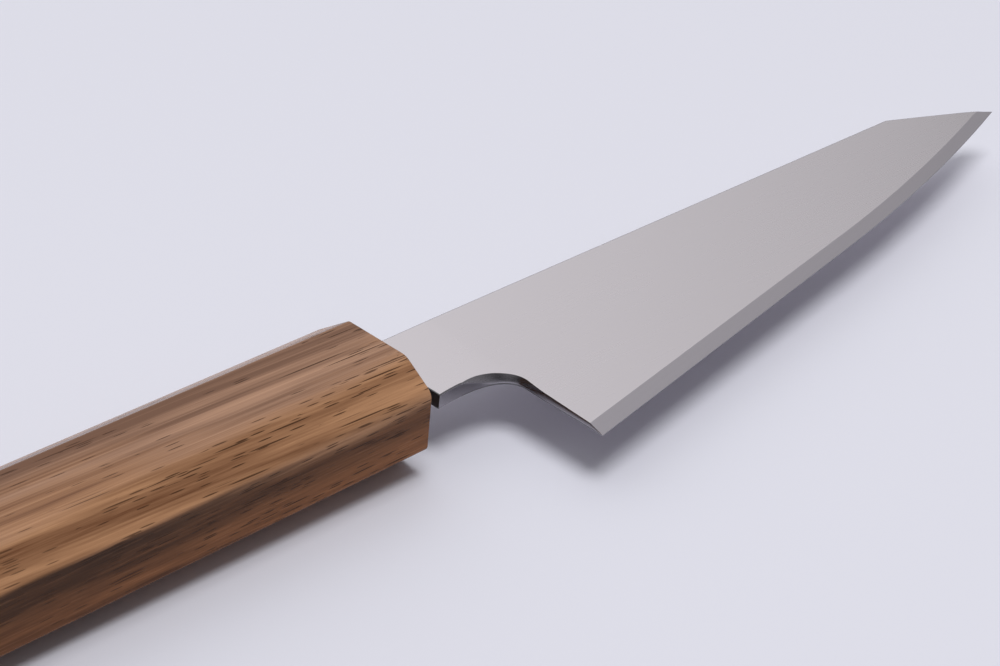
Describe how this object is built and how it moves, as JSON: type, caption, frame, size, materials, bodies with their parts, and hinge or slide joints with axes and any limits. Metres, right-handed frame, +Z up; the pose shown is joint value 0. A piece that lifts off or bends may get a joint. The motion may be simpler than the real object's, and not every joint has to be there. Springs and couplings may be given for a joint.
{
  "type": "honesuki knife",
  "caption": "Boning knife: stiff triangular satin steel blade with an angled clip point, flat back and narrow ground bevel, its stick tang bonded into an octagonal wooden handle.",
  "frame": {"origin": "middle of the handle's lower flat, on which the knife lies", "axes": "+X along the handle from the butt to the tip, +Y from the edge side to the spine side, +Z up out of the blade's right face"},
  "size_m": [0.3029, 0.0466, 0.0202],
  "materials": {
    "satin_steel": "fine satin, polished along the length",
    "brown_wood": "smooth, oiled, with open pores",
    "resin": "cured, slightly satin"
  },
  "bodies": {
    "root": {"blade": "satin_steel", "handle": "brown_wood", "tang_adhesive": "resin"}
  },
  "joints": []
}
